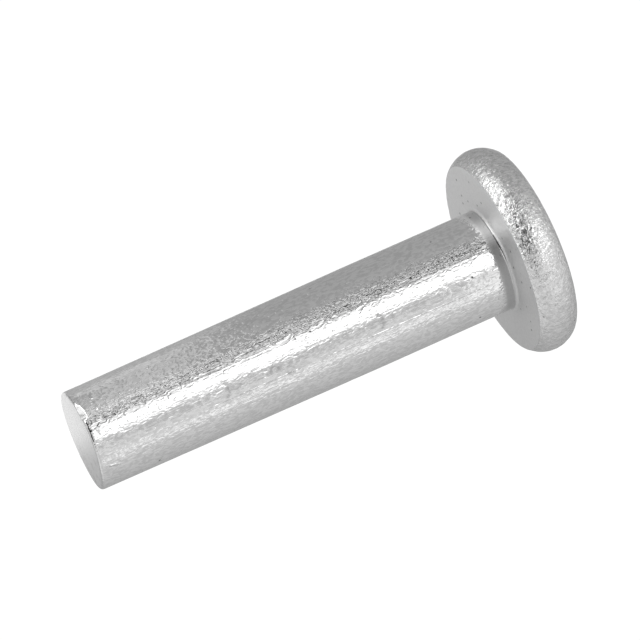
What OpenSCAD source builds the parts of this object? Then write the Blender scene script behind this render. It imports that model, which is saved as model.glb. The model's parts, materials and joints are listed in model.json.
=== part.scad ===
// Flat head rivet: a cold-headed solid rivet in one piece.
// It stands on the flat top of its head at z = 0, with the shank rising along +Z.

/* [Shank] */
// Diameter of the shank where it leaves the head
shank_d = 6; // [5:0.1:7]
// Length from the bearing face to the middle of the sheared end
shank_length = 25.8; // [16:0.1:40]
// Length of the straight stretch next to the head, before the shank starts to taper
straight_length = 8; // [4:0.5:12]
// Diameter lost between the straight stretch and the free end
taper_loss = 0.18; // [0.04:0.02:0.4]
// Radius of the fillet between the shank and the bearing face
fillet_r = 0.2; // [0.1:0.05:0.4]

/* [Head] */
// Largest diameter of the head, at the crown of its rounded rim
head_d = 12.25; // [11:0.05:13]
// Thickness of the head, from its flat top to the bearing face
head_height = 2.45; // [2.2:0.05:2.7]
// Radius of the rim's round section
rim_r = 1.66; // [1.45:0.01:2]
// Height of the rim's crown above the flat top
crown_height = 1.25; // [1.1:0.05:1.35]
// Radius that rolls the rim into the flat top
top_edge_r = 0.43; // [0.2:0.01:0.6]

/* [Free end] */
// Angle by which the sheared end face is out of square
end_tilt = 3; // [0.5:0.5:6]
// Direction in which the end face slopes down, turned about the shank from +X
end_turn = 74; // [0:1:359]
// Radius of the tumbled edge around the end face
end_edge_r = 0.15; // [0.1:0.05:0.4]

/* [Nick] */
// Direction of the small nick in the end's edge, turned about the shank from +X
nick_turn = -60; // [-180:1:180]
// How far the nick bites into the end face
nick_depth = 0.1; // [0.06:0.02:0.3]
// How far the nick runs down the side of the shank
nick_height = 0.35; // [0.3:0.05:1]

/* [Hidden] */
$fn = 128;

shank_r = shank_d / 2;
tip_r = shank_r - taper_loss / 2;
total_height = head_height + shank_length;

// The end face slopes, so the blank is longer than the finished rivet by this much
shear_allowance = shank_r * tan(end_tilt) + end_edge_r;
blank_height = total_height + shear_allowance;
taper_slope = (shank_r - tip_r) / (shank_length - straight_length);
blank_tip_r = tip_r - taper_slope * shear_allowance;

// Rim: one large arc, and one small arc that rolls it into the flat top. The small arc
// reaches past the large one by a hair, so that the two cross at a single clean point.
arc_overlap = 0.002;
rim_centre_r = head_d / 2 - rim_r;
arc_gap = rim_r - top_edge_r + arc_overlap;
arc_drop = crown_height - top_edge_r;
flat_top_r = rim_centre_r + sqrt(arc_gap * arc_gap - arc_drop * arc_drop);
arcs_meet_height = crown_height - rim_r * arc_drop / arc_gap;

// The end's edge arc starts just outside the shank, so the two surfaces cross cleanly
edge_margin = 0.01;
end_flat_r = tip_r + edge_margin - end_edge_r;

// Size of the blocks that reach past every surface of the rivet
clear = head_d;

// Half section of the head, from its flat top up to the bearing face
module head_section() {
    intersection() {
        square([clear, head_height]);
        union() {
            square([rim_centre_r, clear]);
            translate([rim_centre_r, crown_height]) circle(rim_r);
        }
        union() {
            square([flat_top_r, clear]);
            translate([flat_top_r, top_edge_r]) circle(top_edge_r);
            translate([0, arcs_meet_height]) square(clear);
        }
    }
}

// Half section of the shank: straight next to the head, then a slight taper
module shank_section() {
    polygon([
        [0, 0],
        [shank_r, 0],
        [shank_r, head_height + straight_length],
        [blank_tip_r, blank_height],
        [0, blank_height]
    ]);
}

// Half section of the fillet in the corner between the shank and the bearing face
module fillet_section() {
    difference() {
        translate([0, head_height]) square([shank_r + fillet_r, fillet_r]);
        translate([shank_r + fillet_r, head_height + fillet_r]) circle(fillet_r);
    }
}

// The headed blank as it leaves the die, with its end not yet sheared to length
module headed_blank() {
    rotate_extrude() {
        head_section();
        shank_section();
        fillet_section();
    }
}

// Half section of the space that the finished end keeps inside: wide below, then one
// rounded step up to the sheared face
module end_section() {
    translate([0, -blank_height - clear]) square([clear, blank_height + clear]);
    square([end_flat_r, end_edge_r]);
    intersection() {
        translate([end_flat_r, 0]) circle(end_edge_r);
        square(clear);
    }
}

// Everything that stays after the end is sheared off out of square and tumbled
module sheared_envelope() {
    translate([0, 0, total_height - end_edge_r])
    rotate([0, end_tilt, end_turn])
    rotate_extrude() end_section();
}

// Block that knocks a small flat nick into the edge of the free end
module edge_nick() {
    rotate([0, 0, nick_turn])
    translate([tip_r, 0, total_height - nick_height])
    rotate([0, -atan(nick_depth / nick_height), 0])
    translate([0, -clear / 2, -clear / 2])
    cube(clear);
}

module rivet() {
    color("silver")
    difference() {
        intersection() {
            headed_blank();
            sheared_envelope();
        }
        edge_nick();
    }
}

rivet();
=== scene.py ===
"""Dresses the flat head rivet: one cold-headed, tumbled aluminium piece on a pale studio floor."""
import json
import logging
from dataclasses import dataclass, field
from enum import Enum
from typing import Callable

import bpy
import numpy as np
from mathutils import Matrix, Vector


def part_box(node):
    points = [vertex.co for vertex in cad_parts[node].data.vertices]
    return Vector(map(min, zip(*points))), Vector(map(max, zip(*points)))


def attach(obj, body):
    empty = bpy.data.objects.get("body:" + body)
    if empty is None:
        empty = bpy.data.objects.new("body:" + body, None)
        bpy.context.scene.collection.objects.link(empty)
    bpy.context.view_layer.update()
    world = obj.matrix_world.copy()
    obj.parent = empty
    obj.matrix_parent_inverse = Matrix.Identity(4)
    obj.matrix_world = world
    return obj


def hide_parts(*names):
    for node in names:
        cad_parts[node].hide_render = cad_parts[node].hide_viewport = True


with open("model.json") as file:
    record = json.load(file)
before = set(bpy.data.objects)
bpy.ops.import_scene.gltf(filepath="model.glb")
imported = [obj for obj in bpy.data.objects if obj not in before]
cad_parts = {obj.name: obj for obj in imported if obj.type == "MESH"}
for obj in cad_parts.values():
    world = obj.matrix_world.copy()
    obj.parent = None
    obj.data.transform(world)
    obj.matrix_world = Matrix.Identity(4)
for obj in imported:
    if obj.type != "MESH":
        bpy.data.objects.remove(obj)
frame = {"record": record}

LOG = logging.getLogger("rivet")
MM = 0.001
MICROMETRE = 0.001  # in millimetres
NODE = "rivet"
BODY = "root"

# Whole numbers that scatter the bits of a lattice cell, and a shift that keeps cells positive
AXIS_FACTORS = (73856093, 19349663, 83492791)
SEED_FACTOR = 2654435761
MIX_FACTOR = 1274126177
LOW_BITS = 0xFFFFFF
LATTICE_SHIFT = 1024.0

# Settings of nodes, and the numbers of a Mix node's sockets, whose names are not unique
ADD, TIMES, LARGER = ({"operation": word} for word in ("ADD", "MULTIPLY", "MAXIMUM"))
MIX_VALUES, MIX_COLOURS = {"data_type": "FLOAT"}, {"data_type": "RGBA"}
SMOOTH = {"interpolation_type": "SMOOTHSTEP"}
VALUE_A, VALUE_B = 2, 3
COLOUR_A, COLOUR_B, COLOUR_OUT = 6, 7, 2

Pair = tuple[float, float]
Place = tuple[float, float, float]
Profile = tuple[np.ndarray, np.ndarray, np.ndarray, np.ndarray]
Section = Callable[[np.ndarray, np.ndarray], Profile]
Tree = bpy.types.NodeTree
Socket = bpy.types.NodeSocket


# ---------------------------------------------------------------- helpers for nodes and colour


def linear(hex_colour: str) -> tuple[float, float, float, float]:
    """Turns an sRGB hex colour into linear red, green, blue and alpha.

    Args:
        hex_colour: six hex digits, such as "D8D9DA".

    Returns:
        The linear colour, with an alpha of one.
    """
    srgb = np.array([int(hex_colour[i:i + 2], 16) for i in (0, 2, 4)]) / 255.0
    low, high = srgb / 12.92, ((srgb + 0.055) / 1.055) ** 2.4
    return (*np.where(srgb <= 0.04045, low, high).tolist(), 1.0)


def add_node(
    tree: Tree,
    kind: str,
    settings: dict | None = None,
    inputs: dict | None = None,
) -> bpy.types.Node:
    """Adds a shader node with its settings, and fills or links its inputs.

    Args:
        tree: the node tree that gets the node.
        kind: the node's type without its "ShaderNode" prefix.
        settings: values for the node's own properties.
        inputs: input name or number, with a value, an output socket to link from, or a
            node, which stands for its first output.

    Returns:
        The new node.
    """
    node = tree.nodes.new("ShaderNode" + kind)
    for name, value in (settings or {}).items():
        setattr(node, name, value)
    for key, value in (inputs or {}).items():
        if isinstance(value, bpy.types.Node):
            value = value.outputs[0]
        if isinstance(value, Socket):
            tree.links.new(value, node.inputs[key])
        else:
            node.inputs[key].default_value = value
    return node


# ---------------------------------------------------------------- helpers for fields


def smoothstep(low: float, high: float, value: np.ndarray) -> np.ndarray:
    """Goes from 0 at low to 1 at high as 3t^2 - 2t^3, and stays flat outside them."""
    t = np.clip((value - low) / (high - low), 0.0, 1.0)
    return t * t * (3.0 - 2.0 * t)


def lattice_number(cell: np.ndarray, seed: int) -> np.ndarray:
    """Gives each whole-numbered lattice cell one repeatable number from 0 to 1.

    Args:
        cell: whole numbers from 0 up, shape (..., 3).
        seed: picks one of many independent fields.

    Returns:
        One number per cell, shape (...).
    """
    mixed = np.uint64(seed * SEED_FACTOR)
    for axis, factor in enumerate(AXIS_FACTORS):
        mixed = mixed ^ cell[..., axis].astype(np.uint64) * np.uint64(factor)
    mixed = (mixed ^ (mixed >> np.uint64(13))) * np.uint64(MIX_FACTOR)
    mixed = (mixed ^ (mixed >> np.uint64(16))) & np.uint64(LOW_BITS)
    return mixed.astype(float) / float(LOW_BITS)


def smooth_noise(points: np.ndarray, size: float | tuple, seed: int) -> np.ndarray:
    """Smooth random field: lattice numbers blended with 3t^2 - 2t^3 along each axis.

    Args:
        points: places in millimetres, shape (n, 3).
        size: the lattice spacing in millimetres, one for all axes or one for each.
        seed: picks the field.

    Returns:
        Values from -1 to 1, shape (n,).
    """
    place = points / np.asarray(size, float) + LATTICE_SHIFT
    base = np.floor(place).astype(np.int64)
    t = smoothstep(0.0, 1.0, place - base)
    total = np.zeros(len(points))
    for corner in np.ndindex(2, 2, 2):
        step = np.array(corner)
        weight = np.prod(np.where(step == 1, t, 1.0 - t), axis=1)
        total += weight * lattice_number(base + step, seed)
    return total * 2.0 - 1.0


def dents(points: np.ndarray, spacing: float, radius: float, seed: int) -> np.ndarray:
    """Scattered round dents, each a bowl (1 - d^2 / R^2)^2 about a random site.

    Args:
        points: places in millimetres, shape (n, 3).
        spacing: the mean distance between dents in millimetres.
        radius: the largest radius of a dent in millimetres, under the spacing.
        seed: picks the sites.

    Returns:
        Depth from 0 outside the dents to 1 at the middle of the deepest, shape (n,).
    """
    least_radius, least_depth = 0.4, 0.3
    place = points / spacing + LATTICE_SHIFT
    base = np.floor(place).astype(np.int64)
    deepest = np.zeros(len(points))
    for corner in np.ndindex(3, 3, 3):
        cell = base + np.array(corner) - 1
        site = cell + np.stack([lattice_number(cell, seed + k) for k in range(3)], axis=-1)
        share = lattice_number(cell, seed + 3)
        distance = np.linalg.norm(place - site, axis=1) * spacing
        reach = radius * (least_radius + (1.0 - least_radius) * share)
        bowl = np.clip(1.0 - (distance / reach) ** 2, 0.0, 1.0)
        deepest = np.maximum(deepest, bowl ** 2 * (least_depth + (1.0 - least_depth) * share))
    return deepest


# ---------------------------------------------------------------- the rivet's surface


def arc(
    centre: tuple, radius: float | np.ndarray, start: float, stop: float, step: np.ndarray,
) -> Profile:
    """Arc of the profile: each place is the centre plus the radius times its normal.

    Args:
        centre: the centre's distance from the axis and its height, in millimetres.
        radius: the arc's radius in millimetres, negative for a hollow one.
        start: the normal's angle above level at step 0, in radians.
        stop: the normal's angle above level at step 1, in radians.
        step: how far along the arc each place is, from 0 to 1.

    Returns:
        Radius, height, and the normal's outward and upward parts.
    """
    angle = start + (stop - start) * step
    out, up = np.cos(angle), np.sin(angle)
    return centre[0] + radius * out, centre[1] + radius * up, out, up


def level_face(
    start: float | np.ndarray, stop: float, height: float, up: float, step: np.ndarray,
) -> Profile:
    """Flat stretch of the profile: the radius goes evenly from start to stop.

    Args:
        start: the distance from the axis at step 0, in millimetres.
        stop: the distance from the axis at step 1, in millimetres.
        height: the face's height in millimetres.
        up: 1 where the face looks up, -1 where it looks down.
        step: how far along the stretch each place is, from 0 to 1.

    Returns:
        Radius, height, and the normal's outward and upward parts.
    """
    still = 0.0 * step
    return start + (stop - start) * step, still + height, still, still + up


def even_steps(count: int) -> np.ndarray:
    """Gives evenly spaced steps that leave 0 out and end at 1."""
    return np.linspace(0.0, 1.0, count + 1)[1:]


@dataclass
class Rings:
    """Rings of points round the rivet's axis, stacked along its profile, in millimetres."""

    points: list[np.ndarray] = field(default_factory=list)
    normals: list[np.ndarray] = field(default_factory=list)
    counts: list[int] = field(default_factory=list)

    def add(self, section: Section, steps: np.ndarray, counts: int | np.ndarray) -> None:
        """Adds the rings of one section of the profile.

        Args:
            section: gives radius, height, and the normal's outward and upward parts, from
                the step along the section and the turn about the axis.
            steps: where the rings lie along the section, from 0 to 1.
            counts: the number of points in each ring, one for all rings or one for each.
        """
        counts = np.broadcast_to(counts, len(steps))
        step = np.repeat(steps, counts)
        turn = np.concatenate([np.arange(n) / n for n in counts]) * 2.0 * np.pi
        radius, height, out, up = section(step, turn)
        c, s = np.cos(turn), np.sin(turn)
        self.points.append(np.stack([radius * c, radius * s, height], axis=1))
        self.normals.append(np.stack([out * c, out * s, up], axis=1))
        self.counts.extend(int(n) for n in counts)

    def faces(self) -> tuple[np.ndarray, np.ndarray]:
        """Joins each ring to the next, like to like or one to two, and closes both poles.

        Returns:
            Quads, shape (q, 4), and triangles, shape (t, 3), as vertex numbers. The poles
            are the two vertices after the last ring.
        """
        quads, triangles, a = [], [], 0
        for low, high in zip(self.counts[:-1], self.counts[1:]):
            b = a + low
            i = np.arange(min(low, high))
            j = (i + 1) % len(i)
            if low == high:
                quads.append(np.stack([a + i, a + j, b + j, b + i], axis=1))
            elif high == 2 * low:
                triangles.append(np.stack([a + i, b + 2 * i + 1, b + 2 * i], axis=1))
                triangles.append(np.stack([a + i, a + j, b + 2 * i + 1], axis=1))
                triangles.append(np.stack([a + j, b + 2 * j, b + 2 * i + 1], axis=1))
            else:
                triangles.append(np.stack([a + 2 * i, a + 2 * i + 1, b + i], axis=1))
                triangles.append(np.stack([a + 2 * i + 1, b + j, b + i], axis=1))
                triangles.append(np.stack([a + 2 * i + 1, a + 2 * j, b + j], axis=1))
            a = b
        last = a + self.counts[-1]
        i = np.arange(self.counts[0])
        triangles.append(np.stack([(i + 1) % len(i), i, 0 * i + last], axis=1))
        i = np.arange(self.counts[-1])
        triangles.append(np.stack([a + i, a + (i + 1) % len(i), 0 * i + last + 1], axis=1))
        return np.concatenate(quads), np.concatenate(triangles)


@dataclass(frozen=True)
class Ripple:
    """Smooth random relief, by its lattice spacing, its height and its seed."""

    spacing: float | Place
    height: float
    seed: int

    def waves(self, p: np.ndarray) -> np.ndarray:
        """Round waves at each point: the height times the smooth field."""
        return self.height * smooth_noise(p, self.spacing, self.seed)

    def creases(self, p: np.ndarray) -> np.ndarray:
        """Sharp-backed crinkles at each point: the height times 0.5 - 1.6 |field|."""
        return self.height * (0.5 - np.abs(smooth_noise(p, self.spacing, self.seed)) * 1.6)


@dataclass(frozen=True)
class Skin:
    """The relief of one kind of surface, in millimetres.

    Level is how far it stands off the true form. Knocked is its share of the dents that
    tumbling leaves everywhere.
    """

    level: float
    knocked: float
    waves: tuple[Ripple, ...]
    creases: tuple[Ripple, ...] = ()

    def height(self, p: np.ndarray, dent: np.ndarray) -> np.ndarray:
        """Adds up the level, the waves and the creases, less the share of the dents.

        Args:
            p: points in millimetres, shape (n, 3).
            dent: the depth of the dents at each point, shape (n,).

        Returns:
            Heights in millimetres, shape (n,).
        """
        total = self.level - self.knocked * dent
        total = total + sum(ripple.waves(p) for ripple in self.waves)
        return total + sum(ripple.creases(p) for ripple in self.creases)


@dataclass(frozen=True)
class Knocks:
    """A layer of scattered dents, by their spacing, largest radius, depth and seed."""

    spacing: float
    radius: float
    depth: float
    seed: int

    def depth_at(self, p: np.ndarray) -> np.ndarray:
        """Depth of the dents at each point, in millimetres."""
        return self.depth * dents(p, self.spacing, self.radius, self.seed)


@dataclass(frozen=True)
class RingMark:
    """A shallow groove along part of a circle, pressed into the side of the shank.

    Turn and height place its middle; the groove runs for the sweep either way from the
    direction it faces, measured in the unrolled side from the axial way down, and fades
    out over the tail beyond. Angles are in degrees and lengths in millimetres.
    """

    turn: float
    height: float
    radius: float
    groove: float
    facing: float
    sweep: float
    depth: float
    tail: float = 20.0

    def depth_at(self, p: np.ndarray, shank_radius: float) -> np.ndarray:
        """Works out how deep the groove is at each point.

        Args:
            p: points in millimetres, shape (n, 3).
            shank_radius: turns an angle about the axis into a length along the side.

        Returns:
            Depths in millimetres, shape (n,).
        """
        turn = np.arctan2(p[:, 1], p[:, 0]) - np.radians(self.turn)
        across, down = turn * shank_radius, self.height - p[:, 2]
        distance = np.hypot(across, down)
        away = np.abs(np.degrees(np.arctan2(across, down)) - self.facing)
        away = np.minimum(away, 360.0 - away)
        ring = np.exp(-((distance - self.radius) / self.groove) ** 2)
        return self.depth * ring * smoothstep(self.sweep + self.tail, self.sweep, away)


@dataclass
class RivetBody:
    """The whole rivet as one closed surface, in millimetres, standing on its head.

    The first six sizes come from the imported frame. Then come the radii of the rim and the
    edges, and the sheared end: it slopes across, sags towards one side and stands up in a
    lip towards another, all fading out over slope_reach, and its edge is worn rounder
    towards a third. The nick runs from nick_start by nick_deepest to nick_end, and its
    foot is uneven. Turns about the axis are in radians from +X. Fades and masks are
    distances over which one kind of surface gives way to the next, given as where it
    begins and where it is complete.
    """

    head_radius: float
    head_height: float
    shank_radius: float
    straight_top: float
    fillet: float
    box_top: float
    tip_radius: float = 2.91
    rim_radius: float = 1.66
    crown_height: float = 1.25
    top_edge: float = 0.43
    bearing_edge: float = 0.12
    end_edge: float = 0.13
    worn_edge: float = 0.2
    worn_turn: float = np.radians(-155.0)
    end_slope: Pair = (-0.0139, -0.0497)
    slope_reach: float = 4.0
    sag: float = 0.1
    sag_turn: float = np.radians(-75.0)
    lip: float = 0.08
    lip_turn: float = np.radians(-162.0)
    head_shift: Pair = (0.058, -0.095)
    shift_fade: float = 2.0
    nick_start: float = np.radians(-34.0)
    nick_deepest: float = np.radians(-60.0)
    nick_end: float = np.radians(-70.0)
    nick_return: float = 0.07
    nick_curve: float = 1.8
    nick_height: float = 0.36
    nick_lean: float = np.radians(24.0)
    nick_ragged: Ripple = Ripple(0.3, 0.25, 9)

    around: int = 240
    disc_rings: int = 15
    disc_crowding: float = 0.8
    edge_rings: int = 5
    rim_rings: int = 30
    crease_rings: int = 3
    bearing_rings: tuple[int, int] = (12, 10)
    shank_rings: int = 235
    tip_rings: int = 13
    tip_share: float = 0.982

    rim_fade: Pair = (-0.1, 0.12)
    side_fade: Pair = (0.05, 0.6)
    end_fade: Pair = (0.0, 0.25)
    knocks: tuple[Knocks, ...] = (Knocks(0.95, 0.42, 0.004, 10), Knocks(0.5, 0.25, 0.0025, 20))
    side: Skin = Skin(0.0, 1.0, (
        Ripple((2.4, 2.4, 7.0), 0.005, 1), Ripple(1.2, 0.0015, 2),
        Ripple((0.2, 0.2, 6.0), 0.0006, 3), Ripple(0.24, 0.0010, 4)))
    rim: Skin = Skin(-0.012, 1.5, (Ripple(2.5, 0.016, 7),), (
        Ripple(0.36, 0.010, 5), Ripple(0.22, 0.006, 6)))
    face: Skin = Skin(-0.002, 0.3, (Ripple(1.2, 0.002, 8),))
    chips: Knocks = Knocks(0.34, 0.15, 0.03, 30)
    chip_height: float = 0.12
    chip_fade: Pair = (0.3, 0.1)
    chipped_from: Pair = (-2.0, -1.2)
    chipped_to: Pair = (1.1, 0.8)
    chips_elsewhere: float = 0.2
    marks: tuple[RingMark, ...] = (
        *(RingMark(-102.0, z, 0.50, 0.07, 0.0, 55.0, 0.012) for z in (10.95, 20.55)),
        *(RingMark(-81.5, z, 0.13, 0.06, 0.0, 180.0, 0.008) for z in (10.48, 20.08)),
        *(RingMark(-103.5, z, 0.06, 0.08, 0.0, 180.0, 0.010) for z in (9.85, 19.45)),
        RingMark(-111.0, 16.4, 0.22, 0.06, 0.0, 180.0, 0.008),
        RingMark(-106.0, 17.25, 0.28, 0.07, 90.0, 90.0, 0.008),
    )
    rim_mask: Pair = (-0.02, 0.08)
    end_mask: Pair = (0.03, 0.0)
    corner_mask: Pair = (0.78, 0.56)
    # Painted shade fills the ring marks' grooves: full at this depth, kept off the head and the
    # end's edge by the margins
    groove_shade_depth: float = 0.012
    groove_shade_margins: Pair = (0.5, 0.05)

    def __post_init__(self) -> None:
        """Works out the profile's derived sizes."""
        gap = self.rim_radius - self.top_edge
        drop = self.crown_height - self.top_edge
        rise = self.head_height - self.bearing_edge - self.crown_height
        self.rim_centre = self.head_radius - self.rim_radius
        self.flat_radius = self.rim_centre + np.sqrt(gap ** 2 - drop ** 2)
        self.join_angle = np.arcsin(drop / gap)
        self.crease_angle = np.arcsin(rise / (self.rim_radius - self.bearing_edge))
        self.bearing_radius = self.rim_centre + (
            (self.rim_radius - self.bearing_edge) * np.cos(self.crease_angle)
        )
        steepness = np.hypot(*self.end_slope)
        self.top = self.box_top - (self.tip_radius - self.end_edge) * steepness

    # Sections of the profile, from the middle of the flat top to the middle of the free
    # end. Each takes the step along itself and the turn about the axis, as arrays, and
    # returns radius, height, and the normal's outward and upward parts.

    def top_face(self, step: np.ndarray, turn: np.ndarray) -> Profile:
        """Flat disc from the middle out to the edge arc, looking down."""
        return level_face(0.0, self.flat_radius, 0.0, -1.0, step)

    def top_edge_arc(self, step: np.ndarray, turn: np.ndarray) -> Profile:
        """Arc from straight down to the join with the rim."""
        centre = (self.flat_radius, self.top_edge)
        return arc(centre, self.top_edge, -np.pi / 2, -self.join_angle, step)

    def rim_arc(self, step: np.ndarray, turn: np.ndarray) -> Profile:
        """Arc from the join, over the crown, to the round at the bearing edge."""
        centre = (self.rim_centre, self.crown_height)
        return arc(centre, self.rim_radius, -self.join_angle, self.crease_angle, step)

    def bearing_edge_arc(self, step: np.ndarray, turn: np.ndarray) -> Profile:
        """Small arc that turns the rim's slant over into the bearing face."""
        centre = (self.bearing_radius, self.head_height - self.bearing_edge)
        return arc(centre, self.bearing_edge, self.crease_angle, np.pi / 2, step)

    def bearing_face(self, step: np.ndarray, turn: np.ndarray) -> Profile:
        """Flat ring from the bearing edge in to the fillet."""
        inner = self.shank_radius + self.fillet
        return level_face(self.bearing_radius, inner, self.head_height, 1.0, step)

    def fillet_arc(self, step: np.ndarray, turn: np.ndarray) -> Profile:
        """Hollow arc that turns from the bearing face up into the shank."""
        centre = (self.shank_radius + self.fillet, self.head_height + self.fillet)
        return arc(centre, -self.fillet, np.pi / 2, 0.0, step)

    def edge_radius(self, turn: np.ndarray) -> np.ndarray:
        """Edge radius of the free end: crisp, and worn rounder about one direction."""
        near = np.clip(np.cos(turn - self.worn_turn), 0.0, 1.0)
        return self.end_edge + (self.worn_edge - self.end_edge) * near ** 2

    def shank_side(self, step: np.ndarray, turn: np.ndarray) -> Profile:
        """Cylinder up to the end of the straight stretch, then a cone to the free end.

        Args:
            step: how far up the side each place is, from 0 to 1.
            turn: the turn about the axis in radians.

        Returns:
            Radius, height, and the normal's outward and upward parts.
        """
        base = self.head_height + self.fillet
        height = base + (self.top - self.edge_radius(turn) - base) * step
        share = np.clip((height - self.straight_top) / (self.top - self.straight_top), 0.0, 1.0)
        radius = self.shank_radius + (self.tip_radius - self.shank_radius) * share
        return radius, height, 0.0 * step + 1.0, 0.0 * step

    def end_edge_arc(self, step: np.ndarray, turn: np.ndarray) -> Profile:
        """Quarter arc from the side of the shank to the sheared face."""
        edge = self.edge_radius(turn)
        return arc((self.tip_radius - edge, self.top - edge), edge, 0.0, np.pi / 2, step)

    def end_face(self, step: np.ndarray, turn: np.ndarray) -> Profile:
        """Flat disc from the edge in to the middle."""
        return level_face(self.tip_radius - self.edge_radius(turn), 0.0, self.top, 1.0, step)

    def rings(self) -> Rings:
        """Lays out every ring, twice as fine round the head as round the shank.

        Returns:
            The rings from the middle of the flat top to the middle of the sheared end.
        """
        n, rings, edge = self.around, Rings(), even_steps(self.edge_rings)
        bearing_steps = even_steps(sum(self.bearing_rings))
        low, tip = even_steps(self.shank_rings), even_steps(self.tip_rings)
        side = [low * self.tip_share, self.tip_share + (1.0 - self.tip_share) * tip]
        # A disc's rings close up towards its edge, and lose points towards its middle
        disc = np.linspace(0.0, 1.0, self.disc_rings + 2)[1:-1] ** self.disc_crowding
        inner_counts = [n // 16, n // 8, n // 4, n // 2, n // 2]
        disc_counts = np.array(inner_counts + [n] * (self.disc_rings - len(inner_counts)))
        rings.add(self.top_face, disc, disc_counts)
        rings.add(self.top_edge_arc, np.concatenate([[0.0], edge]), 2 * n)
        rings.add(self.rim_arc, even_steps(self.rim_rings), 2 * n)
        rings.add(self.bearing_edge_arc, even_steps(self.crease_rings), 2 * n)
        rings.add(self.bearing_face, bearing_steps, np.repeat([2 * n, n], self.bearing_rings))
        rings.add(self.fillet_arc, edge, n)
        rings.add(self.shank_side, np.concatenate(side), n)
        rings.add(self.end_edge_arc, edge, n)
        rings.add(self.end_face, 1.0 - disc[::-1], disc_counts[::-1])
        return rings

    def relief(self, p: np.ndarray, radius: np.ndarray) -> np.ndarray:
        """Height of the surface over the true form, from forging, drawing and tumbling.

        The side has waves, draw lines, grain, dents and the pressed ring marks. The rim
        has a wave, deeper dents, and the crinkles that the metal gets where it bulges
        freely between the dies. The faces have shallow dents, and the end's edge is
        chipped, most along the stretch between chipped_from and chipped_to in x.

        Args:
            p: points on the true form in millimetres, shape (n, 3).
            radius: each point's distance from the axis in millimetres.

        Returns:
            Heights in millimetres, negative into the metal, shape (n,).
        """
        on_rim = smoothstep(*np.add(self.bearing_radius, self.rim_fade), radius)
        on_side = smoothstep(*self.side_fade, p[:, 2] - self.head_height)
        on_side = on_side * smoothstep(*self.end_fade, self.top - p[:, 2])
        on_faces = np.clip(1.0 - on_rim - on_side, 0.0, 1.0)
        dent = sum(layer.depth_at(p) for layer in self.knocks)
        height = on_side * self.side.height(p, dent) + on_rim * self.rim.height(p, dent)
        height = height + on_faces * self.face.height(p, dent)
        height = height - on_side * self.mark_depth(p)
        near_edge = np.abs(self.top - p[:, 2]) < self.chip_height
        at_edge = near_edge * smoothstep(*np.subtract(self.tip_radius, self.chip_fade), radius)
        chipped = smoothstep(*self.chipped_from, p[:, 0]) * smoothstep(*self.chipped_to, p[:, 0])
        chipped = self.chips_elsewhere + (1.0 - self.chips_elsewhere) * chipped
        return height - self.chips.depth_at(p) * at_edge * chipped

    def mark_depth(self, p: np.ndarray) -> np.ndarray:
        """Depth of all the pressed ring marks at each point, in millimetres."""
        return sum(mark.depth_at(p, self.shank_radius) for mark in self.marks)

    def cut_nick(self, p: np.ndarray) -> tuple[np.ndarray, np.ndarray]:
        """Draws points of the end's edge in to a narrow facet that leans back at the end.

        The facet's foot drops slowly from its thin side to its deepest place, and climbs
        back to the end's edge at once on the other side.

        Args:
            p: points in millimetres, shape (n, 3).

        Returns:
            The points with the nick cut, shape (n, 3), and a mask of the facet, shape (n,).
        """
        least_reach, least_radius, end_zone, facet_fade = 0.02, 0.1, 1.0, 0.02
        turn, radius = np.arctan2(p[:, 1], p[:, 0]), np.hypot(p[:, 0], p[:, 1])
        reach = smoothstep(self.nick_start, self.nick_deepest, turn) ** self.nick_curve
        reach = reach * smoothstep(self.nick_end, self.nick_end + self.nick_return, turn)
        foot = self.top - self.nick_height * reach * (1.0 + self.nick_ragged.waves(p))
        limit = self.tip_radius - np.maximum(p[:, 2] - foot, 0.0) * np.tan(self.nick_lean)
        scale = np.minimum(1.0, limit / np.maximum(radius, least_radius))
        cut = (reach > least_reach) & (p[:, 2] > self.top - end_zone)
        scale = np.where(cut, scale, 1.0)
        facet = smoothstep(0.0, facet_fade, radius * (1.0 - scale))
        return np.stack([p[:, 0] * scale, p[:, 1] * scale, p[:, 2]], axis=1), facet

    def end_rise(self, p: np.ndarray, radius: np.ndarray) -> np.ndarray:
        """How far each point rises from the square end: a slope, a lip and a sag.

        The slope is even across the end. The lip and the sag grow with the square of the
        radius, and fall off as cos^2 to either side of their turns.

        Args:
            p: points in millimetres, shape (n, 3).
            radius: each point's distance from the axis in millimetres.

        Returns:
            Rises in millimetres, fading to none down the shank, shape (n,).
        """
        turn = np.arctan2(p[:, 1], p[:, 0])
        bend = self.lip * np.clip(np.cos(turn - self.lip_turn), 0.0, 1.0) ** 2
        bend = bend - self.sag * np.clip(np.cos(turn - self.sag_turn), 0.0, 1.0) ** 2
        rise = p[:, :2] @ np.array(self.end_slope) + bend * (radius / self.tip_radius) ** 2
        return rise * smoothstep(self.top - self.slope_reach, self.top, p[:, 2])

    def surface(self) -> tuple[np.ndarray, np.ndarray, np.ndarray, dict[str, np.ndarray]]:
        """Works out the worn surface.

        Returns:
            Points in millimetres, quads, triangles, and the finish masks by name.
        """
        rings = self.rings()
        quads, triangles = rings.faces()
        p = np.concatenate([*rings.points, [[0, 0, 0]], [[0, 0, self.top]]])
        normal = np.concatenate([*rings.normals, [[0, 0, -1]], [[0, 0, 1]]])
        radius = np.hypot(p[:, 0], p[:, 1])
        masks = self.masks(p, radius)
        p = p + normal * self.relief(p, radius)[:, None]
        p, masks["nicked"] = self.cut_nick(p)
        p[:, 2] += self.end_rise(p, radius)
        # The head is shifted whole, and the bearing face takes up the shift near its edge
        inward = smoothstep(0.0, self.shift_fade, self.bearing_radius - radius)
        shifted = 1.0 - inward * (p[:, 2] > 0.5 * self.head_height)
        shifted = shifted * (p[:, 2] < self.head_height + 0.5 * self.fillet)
        p[:, :2] += shifted[:, None] * np.array(self.head_shift)
        p[:, 2] = np.maximum(p[:, 2], 0.0)
        return p, quads, triangles, masks

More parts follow.
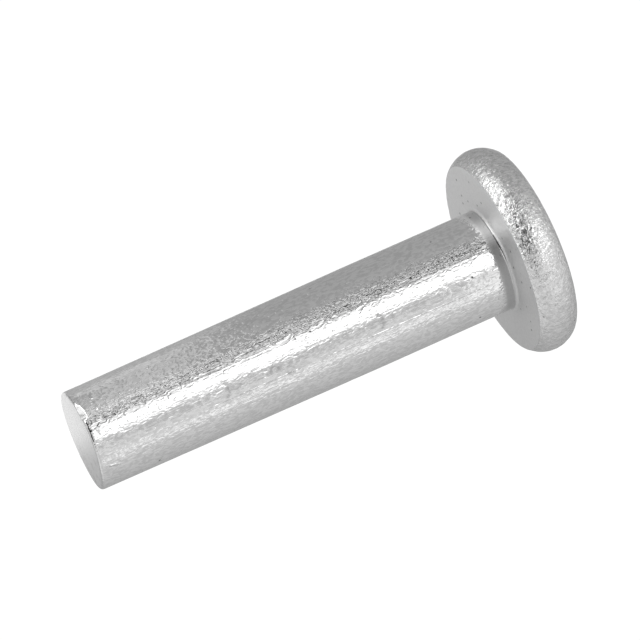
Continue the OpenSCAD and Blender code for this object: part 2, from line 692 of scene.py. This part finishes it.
    def masks(self, p: np.ndarray, radius: np.ndarray) -> dict[str, np.ndarray]:
        """Marks where each finish lies, from 0 to 1.

        Args:
            p: points on the true form in millimetres, shape (n, 3).
            radius: each point's distance from the axis in millimetres.

        Returns:
            The masks by name: forged rim, coined bearing face, sheared end, the painted shade
            in the grooves of the pressed ring marks, and corner, the foot of the shank, where the
            tumbling stones do not reach and whose colour is greyed as painted shade.
        """
        above, below_end = p[:, 2] - self.head_height, self.top - p[:, 2]
        rim = smoothstep(*np.add(self.bearing_radius, self.rim_mask), radius)
        # The bearing face's mask ends part of the way up the fillet, above the corner's foot
        bearing = (1.0 - rim) * (np.abs(above) < 0.6 * self.fillet)
        # The corner mask also carries painted shade: the colour at the foot of the shank is greyed
        # there
        corner = smoothstep(*self.corner_mask, above) * (above > 0.3 * self.fillet)
        # Painted shade in the grooves of the pressed ring marks, darker where they are deeper
        above_head, below_edge = self.groove_shade_margins
        groove_shade = np.clip(self.mark_depth(p) / self.groove_shade_depth, 0.0, 1.0)
        groove_shade = groove_shade * (above > above_head) * (below_end > below_edge)
        return {
            "rim": rim,
            "bearing": bearing,
            "sheared": smoothstep(*self.end_mask, below_end),
            "corner": corner * (1.0 - rim),
            "groove_shade": groove_shade,
        }

    def build(self, name: str) -> bpy.types.Object:
        """Makes the mesh object at the origin, in metres, with its masks as attributes.

        Args:
            name: the piece's name.

        Returns:
            The new object, linked to the scene.
        """
        points, quads, triangles, masks = self.surface()
        mesh = bpy.data.meshes.new(name)
        mesh.from_pydata((points * MM).tolist(), [], quads.tolist() + triangles.tolist())
        mesh.polygons.foreach_set("use_smooth", np.ones(len(mesh.polygons), bool))
        for mask, values in masks.items():
            layer = mesh.attributes.new(mask, "FLOAT", "POINT")
            layer.data.foreach_set("value", values.astype(np.float32))
        mesh.validate()
        mesh.update()
        piece = bpy.data.objects.new(name, mesh)
        bpy.context.scene.collection.objects.link(piece)
        return piece


# ---------------------------------------------------------------- finishes


@dataclass(frozen=True)
class Scratch:
    """A fine straight ridge down the side of the shank towards -Y, in millimetres.

    It starts at x at its low end, and has drifted sideways by the lean at its high end.
    Its side towards +X falls off evenly over the width, and the other side is steeper.
    """

    x: float
    low: float
    high: float
    lean: float
    width: float
    rise: float


@dataclass(frozen=True)
class Ground:
    """What each part of the finish works on: the node tree, Object coordinates, masks."""

    tree: Tree
    place: Socket
    mask: dict[str, Socket]


@dataclass(frozen=True)
class TumbledAluminium:
    """Soft aluminium wire, cold headed and barrel tumbled.

    Tumbling leaves a bright skin of tiny overlapping dents: reflections stay clear but
    their edges break up into specks. The die leaves the bearing face dull and even, and its
    colour grows greyer towards -X. The corner under the head keeps the smooth drawn skin,
    and its colour is greyed as painted shade, for the darker reflection of the bearing face.
    The shear leaves the end half burnished and half torn. The grooves of the pressed ring
    marks are darkened as painted shade. Where a field holds two values, they are the two
    ends of a range.
    """

    clean: str = "EEEEEE"
    worn: str = "DEDEDE"
    # Painted shade: the grey at the foot of the shank, for the darker reflection of the bearing
    # face
    painted_corner_shade: str = "C6C6C6"
    dull: str = "E6E6E6"
    # The bearing face's colour at -X; it grows greyer towards there
    dull_at_minus_x: str = "DADADA"
    torn: str = "DCDCDC"
    nicked: str = "D2D2D2"
    # Dark grey for dirt in pits and in the end's tears, and for the painted shade in the ring
    # marks' grooves
    dark_dirt_and_shade: str = "5A5A5A"
    speck_mm: float = 0.17
    speck_stretch: float = 1.8
    patch_mm: float = 0.8
    ding_mm: float = 0.24
    vein_mm: float = 0.3
    draw_mm: float = 0.09
    draw_length_mm: float = 6.0
    pit_mm: float = 0.45
    tear_mm: float = 0.5
    skin_height_mm: float = 0.0160
    fleck_height_mm: float = 0.002
    ding_depth_mm: float = 0.006
    vein_depth_mm: float = 0.085
    draw_depth_mm: float = 0.009
    patches: Pair = (0.35, 0.7)
    patch_strength: Pair = (0.6, 1.4)
    rim_flecks: float = 0.6
    matte_flecks: float = 0.14
    fleck_from: float = 0.54
    rim_fleck_from: float = 0.50
    fleck_to: float = 0.8
    ding_from: float = 0.5
    ding_size: float = 0.42
    shank_rough: float = 0.10
    corner_rough: float = 0.09
    rim_rough: float = 0.13
    bearing_rough: float = 0.56
    burnished_rough: float = 0.25
    torn_rough: float = 0.42
    mottle: Pair = (0.36, 0.60)
    tears: Pair = (0.52, 0.72)
    tear_dirt: float = 0.45
    matte_cover: float = 0.75
    pit_from: float = 0.98
    still_pit_from: float = 0.86
    pit_size: Pair = (0.1, 0.2)
    pit_dirt: float = 0.9
    # How dark the painted shade in the ring marks' grooves is
    mark_shade: float = 0.4
    burnish_x_mm: Pair = (-1.9, 1.0)
    scratch_fade: float = 0.15
    scratch_steepness: float = 3.0
    scratches: tuple[Scratch, ...] = (
        Scratch(-1.26, 3.2, 11.4, 0.06, 0.045, 0.0155),
        Scratch(-1.22, 10.0, 14.6, 0.02, 0.045, 0.0140),
        Scratch(-1.20, 15.0, 22.0, 0.02, 0.045, 0.0145),
        Scratch(-1.98, 27.2, 27.9, 0.14, 0.08, 0.075),
        Scratch(-1.00, 5.0, 9.0, 0.03, 0.08, 0.007),
        Scratch(1.75, 17.0, 22.0, 0.02, 0.08, 0.006),
        Scratch(2.10, 8.0, 12.0, -0.03, 0.08, 0.006),
    )

    def build(self, name: str) -> bpy.types.Material:
        """Makes the material.

        Args:
            name: the material's name.

        Returns:
            The node material, reading Object coordinates and the piece's masks.
        """
        material = bpy.data.materials.new(name)
        material.use_nodes = True
        tree = material.node_tree
        tree.nodes.clear()
        on = Ground(tree, add_node(tree, "TexCoord").outputs["Object"], {
            key: add_node(tree, "Attribute", {"attribute_name": key}).outputs["Fac"]
            for key in ("rim", "bearing", "sheared", "corner", "groove_shade", "nicked")
        })
        speck, torn = self.speck(on), self.share_towards_minus_x(on)
        shader = add_node(tree, "BsdfPrincipled", {}, {
            "Metallic": 1.0,
            "Base Color": self.colour(on, speck, torn),
            "Roughness": self.roughness(on, torn),
            "Normal": self.normal(on, speck),
        })
        add_node(tree, "OutputMaterial", {}, {"Surface": shader})
        return material

    def speck(self, on: Ground) -> Socket:
        """Adds the fine field of the tumbled skin, a little longer along the axis.

        Args:
            on: the tree, coordinates and masks.

        Returns:
            The field's value, about 0.3 to 0.7.
        """
        along = add_node(on.tree, "Mapping", {"vector_type": "TEXTURE"}, {
            "Vector": on.place, "Scale": (1.0, 1.0, self.speck_stretch)})
        return add_node(on.tree, "TexNoise", {}, {
            "Vector": along, "Scale": 1.0 / (self.speck_mm * MM), "Detail": 0.0,
            "Distortion": 0.8}).outputs["Fac"]

    def share_towards_minus_x(self, on: Ground) -> Socket:
        """Adds a share that grows towards -X: torn metal on the end, a greyer bearing face.

        Args:
            on: the tree, coordinates and masks.

        Returns:
            A share from 0 at the burnished side to 1.
        """
        x = add_node(on.tree, "SeparateXYZ", {}, {0: on.place}).outputs["X"]
        return add_node(on.tree, "MapRange", SMOOTH, {
            "Value": x, "From Min": self.burnish_x_mm[0] * MM,
            "From Max": self.burnish_x_mm[1] * MM, "To Min": 1.0, "To Max": 0.0}).outputs[0]

    def fleck_strength(self, on: Ground) -> Socket:
        """Adds the share of flecks: patchy on the sides, few on faces, nick and corner.

        Args:
            on: the tree, coordinates and masks.

        Returns:
            A factor for the height of the flecks and dings.
        """
        patch = add_node(on.tree, "TexNoise", {}, {
            "Vector": on.place, "Scale": 1.0 / (self.patch_mm * MM), "Detail": 2.0,
            "Roughness": 0.6})
        patchy = add_node(on.tree, "MapRange", {}, {
            "Value": patch, "From Min": self.patches[0], "From Max": self.patches[1],
            "To Min": self.patch_strength[0], "To Max": self.patch_strength[1]})
        strength = add_node(on.tree, "Mix", MIX_VALUES, {
            "Factor": on.mask["rim"], VALUE_A: patchy, VALUE_B: self.rim_flecks})
        matte = on.mask["bearing"]
        for key in ("sheared", "corner", "nicked"):
            matte = add_node(on.tree, "Math", LARGER, {0: matte, 1: on.mask[key]})
        return add_node(on.tree, "Mix", MIX_VALUES, {
            "Factor": matte, VALUE_A: strength, VALUE_B: self.matte_flecks}).outputs[0]

    def flecks(self, on: Ground, speck: Socket, strength: Socket) -> Socket:
        """Adds the tumbled skin's height, with flecks where its field passes a threshold.

        Args:
            on: the tree, coordinates and masks.
            speck: the fine field of the tumbled skin.
            strength: a factor for the height.

        Returns:
            The height, as a share of the skin's.
        """
        threshold = add_node(on.tree, "Mix", MIX_VALUES, {
            "Factor": on.mask["rim"], VALUE_A: self.fleck_from, VALUE_B: self.rim_fleck_from})
        fleck = add_node(on.tree, "MapRange", {}, {
            "Value": speck, "From Min": threshold, "From Max": self.fleck_to,
            "To Max": self.fleck_height_mm / self.skin_height_mm})
        fleck = add_node(on.tree, "Math", ADD, {0: speck, 1: fleck})
        return add_node(on.tree, "Math", TIMES, {0: fleck, 1: strength}).outputs[0]

    def veins(self, on: Ground) -> Socket:
        """Adds the rim's fine crinkles, sharp where the field passes its middle.

        Args:
            on: the tree, coordinates and masks.

        Returns:
            The height, as a share of the veins' depth.
        """
        vein = add_node(on.tree, "TexNoise", {}, {
            "Vector": on.place, "Scale": 1.0 / (self.vein_mm * MM), "Detail": 2.0,
            "Roughness": 0.6, "Distortion": 1.4})
        vein = add_node(on.tree, "Math", {"operation": "SUBTRACT"}, {0: vein, 1: 0.5})
        vein = add_node(on.tree, "Math", {"operation": "ABSOLUTE"}, {0: vein})
        return add_node(on.tree, "Math", TIMES, {0: vein, 1: on.mask["rim"]}).outputs[0]

    def dings(self, on: Ground, strength: Socket) -> Socket:
        """Adds small round dings in about half of the cells of a Voronoi pattern.

        Args:
            on: the tree, coordinates and masks.
            strength: a factor for the depth.

        Returns:
            The height, as a share of the dings' depth, negative into the metal.
        """
        ding = add_node(on.tree, "TexVoronoi", {}, {
            "Vector": on.place, "Scale": 1.0 / (self.ding_mm * MM)})
        number = add_node(on.tree, "SeparateColor", {}, {0: ding.outputs["Color"]})
        chosen = add_node(on.tree, "MapRange", {}, {"Value": number, "From Min": self.ding_from})
        bowl = add_node(on.tree, "MapRange", SMOOTH, {
            "Value": ding.outputs["Distance"], "From Max": self.ding_size,
            "To Min": -1.0, "To Max": 0.0})
        bowl = add_node(on.tree, "Math", TIMES, {0: bowl, 1: chosen})
        return add_node(on.tree, "Math", TIMES, {0: bowl, 1: strength}).outputs[0]

    def draw_lines(self, on: Ground) -> Socket:
        """Adds the lines that drawing the wire left along it.

        Args:
            on: the tree, coordinates and masks.

        Returns:
            The height, as a share of the lines' depth.
        """
        stretch = add_node(on.tree, "Mapping", {"vector_type": "TEXTURE"}, {
            "Vector": on.place, "Scale": (1.0, 1.0, self.draw_length_mm / self.draw_mm)})
        return add_node(on.tree, "TexNoise", {}, {
            "Vector": stretch, "Scale": 1.0 / (self.draw_mm * MM), "Detail": 1.0,
            "Roughness": 0.5}).outputs["Fac"]

    def scratch_height(self, on: Ground) -> Socket:
        """Adds the scratches as fine ridges, each fading out at both ends.

        Args:
            on: the tree, coordinates and masks.

        Returns:
            Their height in micrometres.
        """
        axis = add_node(on.tree, "SeparateXYZ", {}, {0: on.place})
        x, y, z = axis.outputs
        front = add_node(on.tree, "Math", {"operation": "LESS_THAN"}, {0: y, 1: 0.0})
        total = None
        for scratch in self.scratches:
            low, high = scratch.low * MM, scratch.high * MM
            fade = self.scratch_fade * (high - low)
            middle = add_node(on.tree, "MapRange", {}, {
                "Value": z, "From Min": low, "From Max": high,
                "To Min": scratch.x * MM, "To Max": (scratch.x + scratch.lean) * MM})
            aside = add_node(on.tree, "Math", {"operation": "SUBTRACT"}, {0: x, 1: middle})
            steep = add_node(on.tree, "Math", TIMES, {0: aside, 1: -self.scratch_steepness})
            aside = add_node(on.tree, "Math", LARGER, {0: aside, 1: steep})
            ridge = add_node(on.tree, "MapRange", {}, {
                "Value": aside, "From Max": scratch.width * MM,
                "To Min": scratch.rise / MICROMETRE, "To Max": 0.0})
            start = add_node(on.tree, "MapRange", {}, {
                "Value": z, "From Min": low, "From Max": low + fade})
            end = add_node(on.tree, "MapRange", {}, {
                "Value": z, "From Min": high, "From Max": high - fade})
            for share in (start, end, front):
                ridge = add_node(on.tree, "Math", TIMES, {0: ridge, 1: share})
            total = add_node(on.tree, "Math", ADD, {0: total, 1: ridge}) if total else ridge
        return total.outputs[0]

    def normal(self, on: Ground, speck: Socket) -> Socket:
        """Adds the fine relief: flecks, rim veins, dings, draw lines and scratches.

        Args:
            on: the tree, coordinates and masks.
            speck: the fine field of the tumbled skin.

        Returns:
            The bumped normal.
        """
        strength = self.fleck_strength(on)
        bump = None
        for height, depth_mm in (
            (self.flecks(on, speck, strength), self.skin_height_mm),
            (self.veins(on), self.vein_depth_mm),
            (self.dings(on, strength), self.ding_depth_mm),
            (self.draw_lines(on), self.draw_depth_mm),
            (self.scratch_height(on), MICROMETRE),
        ):
            inputs = {"Strength": 1.0, "Distance": depth_mm * MM, "Height": height}
            if bump:
                inputs["Normal"] = bump
            bump = add_node(on.tree, "Bump", {}, inputs)
        return bump.outputs[0]

    def roughness(self, on: Ground, torn: Socket) -> Socket:
        """Adds the roughness of each finish.

        Args:
            on: the tree, coordinates and masks.
            torn: the share of torn metal across the end.

        Returns:
            The roughness.
        """
        end = add_node(on.tree, "Mix", MIX_VALUES, {
            "Factor": torn, VALUE_A: self.burnished_rough, VALUE_B: self.torn_rough})
        rough = self.shank_rough
        for key, value in (
            ("rim", self.rim_rough), ("corner", self.corner_rough),
            ("bearing", self.bearing_rough), ("sheared", end), ("nicked", self.torn_rough),
        ):
            rough = add_node(on.tree, "Mix", MIX_VALUES, {
                "Factor": on.mask[key], VALUE_A: rough, VALUE_B: value})
        return rough.outputs[0]

    def end_colour(self, on: Ground, torn: Socket) -> Socket:
        """Adds the colour of the sheared end: clean, greyer where torn, dark in the tears.

        Args:
            on: the tree, coordinates and masks.
            torn: the share of torn metal across the end.

        Returns:
            The colour.
        """
        end = add_node(on.tree, "Mix", MIX_COLOURS, {
            "Factor": torn, COLOUR_A: linear(self.clean), COLOUR_B: linear(self.torn)})
        tear = add_node(on.tree, "TexNoise", {}, {
            "Vector": on.place, "Scale": 1.0 / (self.tear_mm * MM), "Detail": 3.0,
            "Roughness": 0.6})
        tear = add_node(on.tree, "MapRange", {}, {
            "Value": tear, "From Min": self.tears[0], "From Max": self.tears[1],
            "To Max": self.tear_dirt})
        tear = add_node(on.tree, "Math", TIMES, {0: tear, 1: torn})
        return add_node(on.tree, "Mix", MIX_COLOURS, {
            "Factor": tear, COLOUR_A: end.outputs[COLOUR_OUT],
            COLOUR_B: linear(self.dark_dirt_and_shade)}).outputs[COLOUR_OUT]

    def dirt_and_groove_shade(self, on: Ground) -> Socket:
        """Adds dirt in small pits, and painted shade in the grooves of the pressed ring marks.

        More pits hold dirt in the corner and on the bearing face than on the open sides.

        Args:
            on: the tree, coordinates and masks.

        Returns:
            The share of dirt and painted shade.
        """
        cell = add_node(on.tree, "TexVoronoi", {}, {
            "Vector": on.place, "Scale": 1.0 / (self.pit_mm * MM)})
        number = add_node(on.tree, "SeparateColor", {}, {0: cell.outputs["Color"]})
        still = add_node(on.tree, "Math", LARGER, {
            0: on.mask["bearing"], 1: on.mask["corner"]})
        limit = add_node(on.tree, "Mix", MIX_VALUES, {
            "Factor": still, VALUE_A: self.pit_from, VALUE_B: self.still_pit_from})
        chosen = add_node(on.tree, "Math", {"operation": "GREATER_THAN"}, {
            0: number, 1: limit})
        spot = add_node(on.tree, "MapRange", {}, {
            "Value": cell.outputs["Distance"], "From Min": self.pit_size[0],
            "From Max": self.pit_size[1], "To Min": self.pit_dirt, "To Max": 0.0})
        spot = add_node(on.tree, "Math", TIMES, {0: spot, 1: chosen})
        # Painted shade in the ring marks' grooves, added to the dirt in the pits
        return add_node(on.tree, "Math", {"operation": "MULTIPLY_ADD"}, {
            0: on.mask["groove_shade"], 1: self.mark_shade, 2: spot}).outputs[0]

    def colour(self, on: Ground, speck: Socket, torn: Socket) -> Socket:
        """Adds the metal's colour: fine mottling, the faces' own colours, painted shade and dirt.

        Args:
            on: the tree, coordinates and masks.
            speck: the fine field of the tumbled skin.
            torn: the share that grows towards -X.

        Returns:
            The base colour.
        """
        mottle = add_node(on.tree, "MapRange", {}, {
            "Value": speck, "From Min": self.mottle[0], "From Max": self.mottle[1]})
        colour = add_node(on.tree, "Mix", MIX_COLOURS, {
            "Factor": mottle, COLOUR_A: linear(self.worn), COLOUR_B: linear(self.clean)})
        # The corner's grey is painted shade, for the darker reflection of the bearing face; the
        # nick's grey is the facet's own colour
        for key, hex_colour in (("corner", self.painted_corner_shade), ("nicked", self.nicked)):
            colour = add_node(on.tree, "Mix", MIX_COLOURS, {
                "Factor": on.mask[key], COLOUR_A: colour.outputs[COLOUR_OUT],
                COLOUR_B: linear(hex_colour)})
        # The bearing face grows greyer towards -X
        coined = add_node(on.tree, "Mix", MIX_COLOURS, {
            "Factor": torn, COLOUR_A: linear(self.dull), COLOUR_B: linear(self.dull_at_minus_x)})
        face = add_node(on.tree, "Mix", MIX_COLOURS, {
            "Factor": on.mask["bearing"], COLOUR_A: self.end_colour(on, torn),
            COLOUR_B: coined.outputs[COLOUR_OUT]})
        matte = add_node(on.tree, "Math", LARGER, {
            0: on.mask["bearing"], 1: on.mask["sheared"]})
        matte = add_node(on.tree, "Math", TIMES, {0: matte, 1: self.matte_cover})
        colour = add_node(on.tree, "Mix", MIX_COLOURS, {
            "Factor": matte, COLOUR_A: colour.outputs[COLOUR_OUT],
            COLOUR_B: face.outputs[COLOUR_OUT]})
        return add_node(on.tree, "Mix", MIX_COLOURS, {
            "Factor": self.dirt_and_groove_shade(on), COLOUR_A: colour.outputs[COLOUR_OUT],
            COLOUR_B: linear(self.dark_dirt_and_shade)}).outputs[COLOUR_OUT]


# ---------------------------------------------------------------- the studio


def heading(turn: float, height: float) -> Vector:
    """Works out the unit vector that points from the rivet to a place in the room.

    Args:
        turn: degrees from the camera's side, -Y, towards +X.
        height: degrees above level.

    Returns:
        The unit vector (sin turn cos height, -cos turn cos height, sin height).
    """
    turn, height = np.radians(turn), np.radians(height)
    flat = np.cos(height)
    return Vector((np.sin(turn) * flat, -np.cos(turn) * flat, np.sin(height)))


def plain_glow(name: str, radiance: float) -> bpy.types.Material:
    """Makes a material that only glows evenly.

    Args:
        name: the material's name.
        radiance: the brightness of the glow, where 1 shows as white.

    Returns:
        The material.
    """
    material = bpy.data.materials.new(name)
    material.use_nodes = True
    tree = material.node_tree
    tree.nodes.clear()
    glow = add_node(tree, "Emission", {}, {"Strength": radiance})
    add_node(tree, "OutputMaterial", {}, {"Surface": glow})
    return material


@dataclass(frozen=True)
class Glow:
    """A soft round patch of light, or of shade, far away round the rivet.

    Turn is measured from the camera's side towards +X, and height above level, in
    degrees; core and edge are the patch's inner and outer angular radii.
    """

    turn: float
    height: float
    core: float
    edge: float
    strength: float


class PanelKind(Enum):
    """What a panel does: a lamp adds its light, and a flag hides what is behind it."""

    LAMP = "lamp"
    FLAG = "flag"


@dataclass(frozen=True)
class Panel:
    """An upright rectangle of even brightness beside the rivet, seen only by the metal.

    Sizes are in millimetres. Radiance is what the panel adds, or, for a flag, shows. A
    panel without an aim looks level at the rivet's axis.
    """

    name: str
    kind: PanelKind
    centre: Place
    width: float
    height: float
    radiance: float
    aim: Place | None = None

    def lamp(self) -> bpy.types.Object:
        """Makes the panel as an area lamp; a lamp's watts are 4 x radiance x area.

        Returns:
            The lamp's object.
        """
        data = bpy.data.lights.new(self.name, "AREA")
        data.shape = "RECTANGLE"
        data.size, data.size_y = self.width * MM, self.height * MM
        data.energy = self.radiance * 4.0 * data.size * data.size_y
        return bpy.data.objects.new(self.name, data)

    def flag(self) -> bpy.types.Object:
        """Makes the panel as a card with a faint even glow.

        Returns:
            The card's object.
        """
        data = bpy.data.meshes.new(self.name)
        x, y = self.width / 2 * MM, self.height / 2 * MM
        data.from_pydata([(-x, -y, 0), (x, -y, 0), (x, y, 0), (-x, y, 0)], [], [(0, 1, 2, 3)])
        data.materials.append(plain_glow(self.name, self.radiance))
        card = bpy.data.objects.new(self.name, data)
        card.visible_shadow = False
        card.visible_diffuse = False
        return card

    def build(self) -> None:
        """Makes the panel, turns it to its aim and hides it from the camera."""
        panel = self.lamp() if self.kind is PanelKind.LAMP else self.flag()
        centre = Vector(self.centre) * MM
        target = Vector(self.aim or (0.0, 0.0, self.centre[2])) * MM
        turn = (target - centre).to_track_quat("-Z", "Y")
        panel.matrix_world = Matrix.Translation(centre) @ turn.to_matrix().to_4x4()
        panel.visible_camera = False
        bpy.context.scene.collection.objects.link(panel)


@dataclass
class Studio:
    """Pale floor, soft lamps, plain surroundings and the camera.

    Lengths are in millimetres and angles in degrees. The key's edges are feathered by
    wider faint lamps, whose left and right edges go in even steps between two places.
    """

    camera_distance: float = 357.45
    camera_height: float = 13.98
    camera_turn: float = -0.128
    camera_roll: float = 113.9
    camera_reach: Pair = (10.0, 10000.0)
    aim: Place = (0.813, 0.003, 13.024)
    lens: float = 359.4
    sensor: float = 36.0
    floor_radius: float = 3000.0
    floor_sides: int = 64
    floor_glow: float = 1.05
    backdrop: float = 0.95
    surroundings: float = 0.448
    darkest: float = 0.02
    feather_left: Pair = (-18.0, -34.0)
    feather_right: Pair = (38.0, 68.0)
    feather_steps: int = 6
    feather_place: Pair = (-151.0, -70.0)
    feather_gap: float = 0.1
    feather_height: float = 152.0
    feather_radiance: float = 0.44
    glows: tuple[Glow, ...] = (
        Glow(-57.0, -5.0, 2.0, 102.0, 0.167),
        Glow(-20.0, -19.0, 2.0, 80.0, 0.157),
        Glow(8.0, 42.0, 12.0, 27.0, -0.7),
        Glow(30.0, 11.0, 9.0, 24.0, -0.64),
        Glow(25.0, 89.0, 41.0, 55.0, 0.180),
        Glow(9.0, -71.0, 2.0, 59.0, 0.089),
        Glow(125.0, -36.0, 34.0, 63.0, -0.045),
        Glow(180.0, 13.0, 19.0, 40.0, -0.02),
        Glow(62.0, 52.0, 8.0, 48.0, 0.149),
        Glow(-110.0, 48.0, 8.0, 42.0, 0.13),
        Glow(122.0, 32.0, 8.0, 34.0, -0.13),
    )
    panels: tuple[Panel, ...] = (
        Panel("key", PanelKind.LAMP, (10.0, -150.0, -68.0), 46.0, 154.0, 0.5, (10.0, 0.0, -68.0)),
        Panel("flag_near", PanelKind.FLAG, (74.5, -127.8, -72.0), 12.0, 150.0, 0.02),
        Panel("flag_mid", PanelKind.FLAG, (97.5, -110.5, -72.0), 15.0, 150.0, 0.03),
        Panel("flag_far", PanelKind.FLAG, (119.0, -86.0, -72.0), 15.0, 150.0, 0.26),
        Panel("gap_near", PanelKind.LAMP, (85.0, -120.5, -72.0), 15.0, 150.0, 0.4),
        Panel("gap_far", PanelKind.LAMP, (109.5, -99.0, -72.0), 14.0, 150.0, 0.28),
        Panel("foot", PanelKind.LAMP, (-9.0, -18.0, -1.4), 18.0, 2.8, 0.2),
        Panel("flag_left", PanelKind.FLAG, (-62.0, -136.0, -72.0), 30.0, 150.0, 0.6),
        Panel("fill", PanelKind.LAMP, (-130.0, -75.0, -60.0), 24.0, 120.0, 0.29),
        Panel("side", PanelKind.LAMP, (50.5, -22.5, 48.0), 46.0, 62.0, 1.05, (0.0, 0.0, 10.0)),
        Panel("side_spill", PanelKind.LAMP, (52.0, -18.0, 13.0), 100.0, 8.0, 0.15,
              (0.0, -18.0, 13.0)),
        Panel("side_back", PanelKind.LAMP, (36.0, 30.0, 26.0), 50.0, 40.0, 0.07, (0.0, 0.0, 14.0)),
        Panel("end_spill", PanelKind.LAMP, (30.0, -40.0, 14.0), 36.0, 8.0, 0.1),
        Panel("high_spill", PanelKind.LAMP, (30.0, -40.0, 12.0), 30.0, 22.0, 0.07),
        Panel("back_strip", PanelKind.LAMP, (16.0, 150.0, -76.0), 36.0, 144.0, 0.3,
              (16.0, 0.0, -76.0)),
        Panel("back", PanelKind.LAMP, (8.0, 34.0, 33.0), 18.0, 18.0, 0.4, (8.0, 0.0, 33.0)),
    )

    def feathered_key(self) -> tuple[Panel, ...]:
        """Lays ever wider faint lamps behind the key, so that its edges fade in small steps.

        Returns:
            The lamps, from the narrowest to the widest.
        """
        left = np.linspace(*self.feather_left, self.feather_steps).tolist()
        right = np.linspace(*self.feather_right, self.feather_steps).tolist()
        y, z = self.feather_place
        radiance = self.feather_radiance / self.feather_steps
        panels = []
        for step, (low, high) in enumerate(zip(left, right)):
            x = (low + high) / 2.0
            panels.append(Panel(
                f"key_feather_{step}", PanelKind.LAMP, (x, y - self.feather_gap * step, z),
                high - low, self.feather_height, radiance, (x, 0.0, z)))
        return tuple(panels)

    def add_camera(self) -> None:
        """Sets the camera: aim point, distance, turn and height, then roll about its view."""
        back = heading(self.camera_turn, self.camera_height)
        camera = bpy.data.cameras.new("camera")
        camera.lens, camera.sensor_width = self.lens, self.sensor
        camera.clip_start, camera.clip_end = (reach * MM for reach in self.camera_reach)
        holder = bpy.data.objects.new("camera", camera)
        upright = (-back).to_track_quat("-Z", "Y").to_matrix().to_4x4()
        roll = Matrix.Rotation(-np.radians(self.camera_roll), 4, "Z")
        place = Matrix.Translation((Vector(self.aim) + back * self.camera_distance) * MM)
        holder.matrix_world = place @ upright @ roll
        bpy.context.scene.collection.objects.link(holder)
        bpy.context.scene.camera = holder

    def add_floor(self) -> None:
        """Lays a round pale floor at the rivet's foot, left out of the metal's reflections."""
        mesh = bpy.data.meshes.new("floor")
        turn = np.linspace(0.0, 2.0 * np.pi, self.floor_sides, endpoint=False)
        edge = np.stack([np.cos(turn), np.sin(turn), 0.0 * turn], axis=1) * self.floor_radius * MM
        mesh.from_pydata(edge.tolist(), [], [tuple(range(self.floor_sides))])
        mesh.materials.append(plain_glow("light_table", self.floor_glow))
        floor = bpy.data.objects.new("floor", mesh)
        floor.visible_glossy = False
        floor.visible_shadow = False
        bpy.context.scene.collection.objects.link(floor)

    def add_surroundings(self) -> None:
        """Fills the room with even light, plus the glows; the camera sees it as pale."""
        world = bpy.data.worlds.new("room")
        bpy.context.scene.world = world
        world.use_nodes = True
        tree = world.node_tree
        tree.nodes.clear()
        direction = add_node(tree, "TexCoord").outputs["Generated"]
        total = self.surroundings
        for glow in self.glows:
            dot = add_node(tree, "VectorMath", {"operation": "DOT_PRODUCT"}, {
                0: direction, 1: heading(glow.turn, glow.height)})
            patch = add_node(tree, "MapRange", SMOOTH, {
                "Value": dot.outputs["Value"],
                "From Min": float(np.cos(np.radians(glow.edge))),
                "From Max": float(np.cos(np.radians(glow.core))),
                "To Min": 0.0, "To Max": glow.strength})
            total = add_node(tree, "Math", ADD, {0: total, 1: patch})
        level = add_node(tree, "Math", LARGER, {0: total, 1: self.darkest})
        seen = add_node(tree, "LightPath").outputs["Is Camera Ray"]
        level = add_node(tree, "Mix", MIX_VALUES, {
            "Factor": seen, VALUE_A: level, VALUE_B: self.backdrop})
        light = add_node(tree, "Background", {}, {
            "Color": (1.0, 1.0, 1.0, 1.0), "Strength": level})
        add_node(tree, "OutputWorld", {}, {"Surface": light})

    def build(self) -> None:
        """Sets up the whole studio and a plain display transform."""
        self.add_camera()
        self.add_floor()
        self.add_surroundings()
        for panel in self.panels + self.feathered_key():
            panel.build()
        bpy.context.scene.view_settings.view_transform = "Standard"


# ---------------------------------------------------------------- assembly


def body_from_frame(record: dict) -> RivetBody:
    """Takes the rivet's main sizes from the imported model.

    Args:
        record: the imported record, with the shank's and the bearing face's mounts.

    Returns:
        The rivet's surface, ready to build.
    """
    low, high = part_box(NODE)
    mounts = {mount["name"]: mount for mount in record["mounts"]}
    shank, bearing = mounts["shank"], mounts["bearing_face"]
    head_height = bearing["pos_m"][2] / MM
    middle, length = shank["pos_m"][2] / MM, shank["dims"]["length_mm"]
    return RivetBody(
        head_radius=(high.x - low.x) / 2 / MM,
        head_height=head_height,
        shank_radius=shank["dims"]["r_mm"],
        straight_top=middle + length / 2,
        fillet=middle - length / 2 - head_height,
        box_top=high.z / MM,
    )


def main() -> None:
    """Builds the studio and the dressed rivet, and reports what was made."""
    logging.basicConfig(level=logging.INFO, format="%(name)s: %(message)s")
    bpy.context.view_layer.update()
    Studio().build()
    piece = body_from_frame(frame["record"]).build("rivet_tumbled")
    piece.data.materials.append(TumbledAluminium().build("tumbled_aluminium"))
    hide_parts(NODE)
    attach(piece, BODY)
    count = sum(len(polygon.vertices) - 2 for polygon in piece.data.polygons)
    LOG.info("%s: %d triangles", piece.name, count)


if __name__ == "__main__":
    main()
